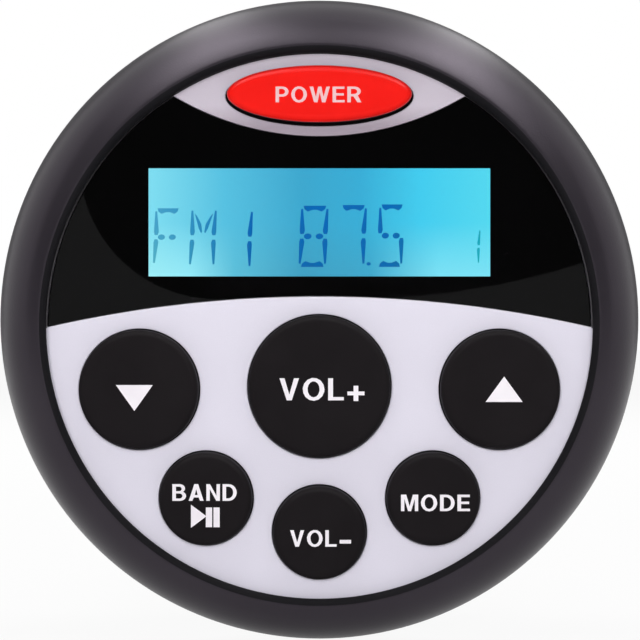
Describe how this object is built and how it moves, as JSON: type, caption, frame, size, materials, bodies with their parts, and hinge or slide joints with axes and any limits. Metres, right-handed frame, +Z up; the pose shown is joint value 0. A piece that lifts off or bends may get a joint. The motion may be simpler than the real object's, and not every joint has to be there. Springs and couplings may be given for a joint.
{
  "type": "marine stereo",
  "caption": "Round gauge-style marine stereo for a dash cut-out: domed bezel, lit display, press keys, sealed barrel, rear sockets and a screw-down clamp.",
  "frame": {"origin": "on the barrel's axis, in the plane of the dash that the gasket seats on", "axes": "+Y from the face to the back along the barrel, +Z up the face, +X to the right of the face"},
  "size_m": [0.104, 0.099, 0.104],
  "materials": {
    "bezel_plastic": "satin charcoal, fine moulded texture",
    "silver_panel": "satin silver paint on moulded plastic",
    "lens_acrylic": "clear acrylic, polished",
    "mask_ink": "black print",
    "display_glass": "lit blue liquid-crystal glass",
    "white_plastic": "moulded",
    "guide_acrylic": "clear acrylic",
    "lamp": "moulded diode",
    "key_rubber": "matte, with white legends",
    "red_key": "satin red, with a white legend",
    "silicone": "matte",
    "carbon": "matte conductive rubber",
    "circuit_board": "green solder resist",
    "gold_contact": "gold plated",
    "screw_steel": "stainless",
    "chip_epoxy": "moulded epoxy",
    "seal_rubber": "closed-cell foam and rubber",
    "housing_plastic": "moulded",
    "ribbon_pvc": "flat cable",
    "tin_plate": "tinned",
    "capacitor_sleeve": "shrunk sleeve",
    "copper_winding": "enamelled copper",
    "sink_aluminium": "extruded, clear anodised",
    "socket_plastic": "moulded",
    "nickel_shell": "nickel plated",
    "gold_shell": "gold plated",
    "clamp_steel": "stainless strip",
    "nut_plastic": "moulded, grooved"
  },
  "bodies": {
    "stereo": {"bezel_ring": "bezel_plastic", "front_panel": "silver_panel", "display_lens": "lens_acrylic", "lens_mask": "mask_ink", "lcd_glass": "display_glass", "lcd_frame": "white_plastic", "light_guide": "guide_acrylic", "backlight_leds": "lamp", "keypad_mat": "silicone", "key_board": "circuit_board", "key_contacts": "gold_contact", "board_screws": "screw_steel", "control_chip": "chip_epoxy", "front_seal": "seal_rubber", "dash_gasket": "seal_rubber", "barrel_housing": "housing_plastic", "bezel_screws": "screw_steel", "rear_seal": "seal_rubber", "rear_cover": "housing_plastic", "rear_cover_screws": "screw_steel", "main_board": "circuit_board", "main_board_screws": "screw_steel", "link_ribbon": "ribbon_pvc", "ribbon_plugs": "white_plastic", "tuner_can": "tin_plate", "amplifier_chip": "chip_epoxy", "heat_sink": "sink_aluminium", "heat_sink_screws": "screw_steel", "filter_capacitors": "capacitor_sleeve", "choke_coil": "copper_winding", "power_socket": "socket_plastic", "power_pins": "gold_contact", "antenna_socket": "nickel_shell", "antenna_insulator": "white_plastic", "antenna_contact": "gold_contact", "line_out_shells": "gold_shell", "line_out_insulators": "white_plastic", "line_out_contacts": "gold_contact", "mounting_studs": "clamp_steel", "stud_nuts": "clamp_steel"},
    "clamp": {"clamp_bracket": "clamp_steel", "lock_washers": "clamp_steel"},
    "left_nut": {"thumb_nut_left": "nut_plastic"},
    "right_nut": {"thumb_nut_right": "nut_plastic"},
    "power_button": {"power_key": "red_key", "power_pill": "carbon"},
    "tune_down_button": {"tune_down_key": "key_rubber", "tune_down_pill": "carbon"},
    "volume_up_button": {"volume_up_key": "key_rubber", "volume_up_pill": "carbon"},
    "tune_up_button": {"tune_up_key": "key_rubber", "tune_up_pill": "carbon"},
    "band_button": {"band_key": "key_rubber", "band_pill": "carbon"},
    "volume_down_button": {"volume_down_key": "key_rubber", "volume_down_pill": "carbon"},
    "mode_button": {"mode_key": "key_rubber", "mode_pill": "carbon"}
  },
  "joints": [
    {"name": "power_press", "type": "slide", "parent": "stereo", "child": "power_button", "axis": [0, 1, 0], "range_m": [0, 0.0008], "stiffness_N_per_m": 1800, "deforming": ["keypad_mat"]},
    {"name": "tune_down_press", "type": "slide", "parent": "stereo", "child": "tune_down_button", "axis": [0, 1, 0], "range_m": [0, 0.0008], "stiffness_N_per_m": 1800, "deforming": ["keypad_mat"]},
    {"name": "volume_up_press", "type": "slide", "parent": "stereo", "child": "volume_up_button", "axis": [0, 1, 0], "range_m": [0, 0.0008], "stiffness_N_per_m": 1800, "deforming": ["keypad_mat"]},
    {"name": "tune_up_press", "type": "slide", "parent": "stereo", "child": "tune_up_button", "axis": [0, 1, 0], "range_m": [0, 0.0008], "stiffness_N_per_m": 1800, "deforming": ["keypad_mat"]},
    {"name": "band_press", "type": "slide", "parent": "stereo", "child": "band_button", "axis": [0, 1, 0], "range_m": [0, 0.0008], "stiffness_N_per_m": 1800, "deforming": ["keypad_mat"]},
    {"name": "volume_down_press", "type": "slide", "parent": "stereo", "child": "volume_down_button", "axis": [0, 1, 0], "range_m": [0, 0.0008], "stiffness_N_per_m": 1800, "deforming": ["keypad_mat"]},
    {"name": "mode_press", "type": "slide", "parent": "stereo", "child": "mode_button", "axis": [0, 1, 0], "range_m": [0, 0.0008], "stiffness_N_per_m": 1800, "deforming": ["keypad_mat"]},
    {"name": "clamp_slide", "type": "slide", "parent": "stereo", "child": "clamp", "axis": [0, 1, 0], "range_m": [-0.006, 0.008]},
    {"name": "left_nut_turn", "type": "hinge", "parent": "clamp", "child": "left_nut", "pos_m": [-0.028, 0.0675, 0], "axis": [0, 1, 0], "range_deg": [-2705, 3605]},
    {"name": "right_nut_turn", "type": "hinge", "parent": "clamp", "child": "right_nut", "pos_m": [0.028, 0.0675, 0], "axis": [0, 1, 0], "range_deg": [-2705, 3605]}
  ],
  "couplings": [
    {"joint": "left_nut_turn", "follows": "clamp_slide", "rad_per_m": 7854},
    {"joint": "right_nut_turn", "follows": "clamp_slide", "rad_per_m": 7854}
  ]
}
